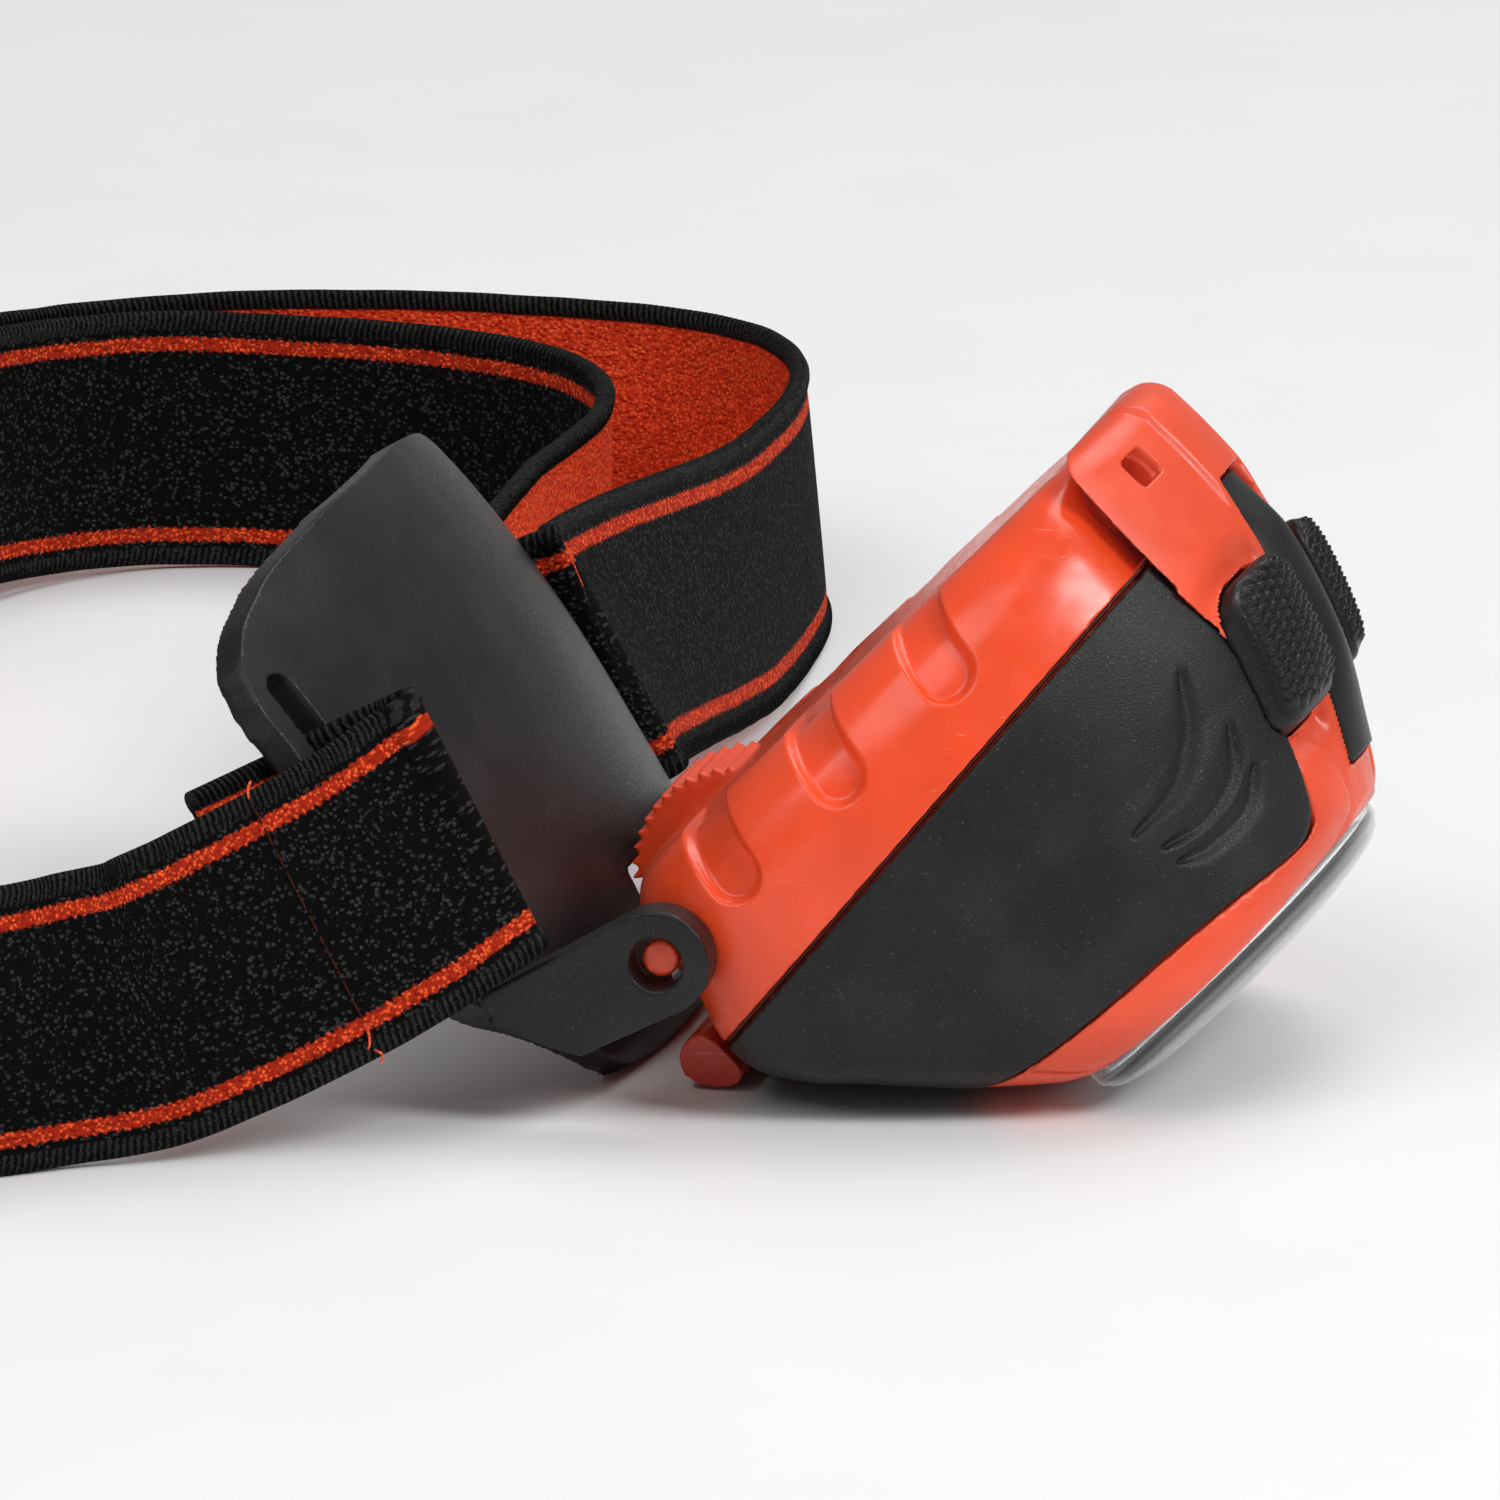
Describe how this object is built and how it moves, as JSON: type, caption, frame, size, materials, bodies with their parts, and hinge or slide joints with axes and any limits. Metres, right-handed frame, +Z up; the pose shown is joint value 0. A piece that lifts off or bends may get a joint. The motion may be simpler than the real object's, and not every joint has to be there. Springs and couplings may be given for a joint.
{
  "type": "headlamp",
  "caption": "Headlamp with an elastic headband, a curved forehead plate, and an orange battery lamp body that tilts on side pins and splits open.",
  "frame": {"origin": "middle of the whole object's footprint, on the table it lies on", "axes": "+X from the headband towards the lamp's lens, +Y along the hinge pins to the lamp's left, +Z up"},
  "size_m": [0.1812, 0.2477, 0.0565],
  "materials": {
    "plate_plastic": "satin fine grain",
    "case_orange": "satin gloss",
    "housing_orange": "satin gloss",
    "grip_rubber": "fine grain",
    "panel_black": "satin",
    "button_rubber": "knurled",
    "clear_lens": "clear polycarbonate",
    "reflector_chrome": "mirror plated",
    "board_green": "solder mask",
    "led_white": "clear epoxy",
    "led_red": "tinted epoxy",
    "heat_sink_metal": "milled",
    "switch_body": "moulded",
    "screw_steel": "plated",
    "tray_black": "moulded",
    "cell_sleeve": "printed sleeve",
    "contact_steel": "nickel plated",
    "seal_rubber": "soft",
    "latch_orange": "satin gloss",
    "lead_red_sleeve": "insulation",
    "lead_black_sleeve": "insulation",
    "webbing": "knitted elastic",
    "adjuster_black": "moulded"
  },
  "bodies": {
    "bracket": {"bracket_plate": "plate_plastic", "headband": "webbing", "strap_adjuster": "adjuster_black"},
    "rear_half": {"rear_cover": "case_orange", "seal_ring": "seal_rubber", "battery_1": "cell_sleeve", "battery_2": "cell_sleeve", "battery_3": "cell_sleeve", "contact_spring_1": "contact_steel", "contact_spring_2": "contact_steel", "contact_spring_3": "contact_steel", "contact_plate_left": "contact_steel", "contact_plate_right": "contact_steel"},
    "front_half": {"front_housing": "housing_orange", "left_grip": "grip_rubber", "right_grip": "grip_rubber", "top_panel": "panel_black", "lens": "clear_lens", "reflector": "reflector_chrome", "led_board": "board_green", "main_led": "led_white", "red_led_left": "led_red", "red_led_right": "led_red", "heat_sink": "heat_sink_metal", "battery_tray": "tray_black", "switch_board": "board_green", "left_switch": "switch_body", "right_switch": "switch_body", "board_screw_1": "screw_steel", "board_screw_2": "screw_steel", "board_screw_3": "screw_steel", "board_screw_4": "screw_steel", "lead_red": "lead_red_sleeve", "lead_black": "lead_black_sleeve", "latch_tab": "latch_orange"},
    "left_button_cap": {"left_button": "button_rubber"},
    "right_button_cap": {"right_button": "button_rubber"}
  },
  "joints": [
    {"name": "lamp_tilt", "type": "hinge", "parent": "bracket", "child": "rear_half", "pos_m": [0.0364, -0.0477, 0.015], "axis": [0, 1, 0], "range_deg": [-70, 8]},
    {"name": "battery_hatch", "type": "hinge", "parent": "rear_half", "child": "front_half", "pos_m": [0.06628, -0.0477, 0.05477], "axis": [0, -1, 0], "range_deg": [0, 95]},
    {"name": "left_button_press", "type": "slide", "parent": "front_half", "child": "left_button_cap", "axis": [-0.7071, 0, -0.7071], "range_m": [0, 0.0007], "stiffness_N_per_m": 600},
    {"name": "right_button_press", "type": "slide", "parent": "front_half", "child": "right_button_cap", "axis": [-0.7071, 0, -0.7071], "range_m": [0, 0.0007], "stiffness_N_per_m": 600}
  ]
}
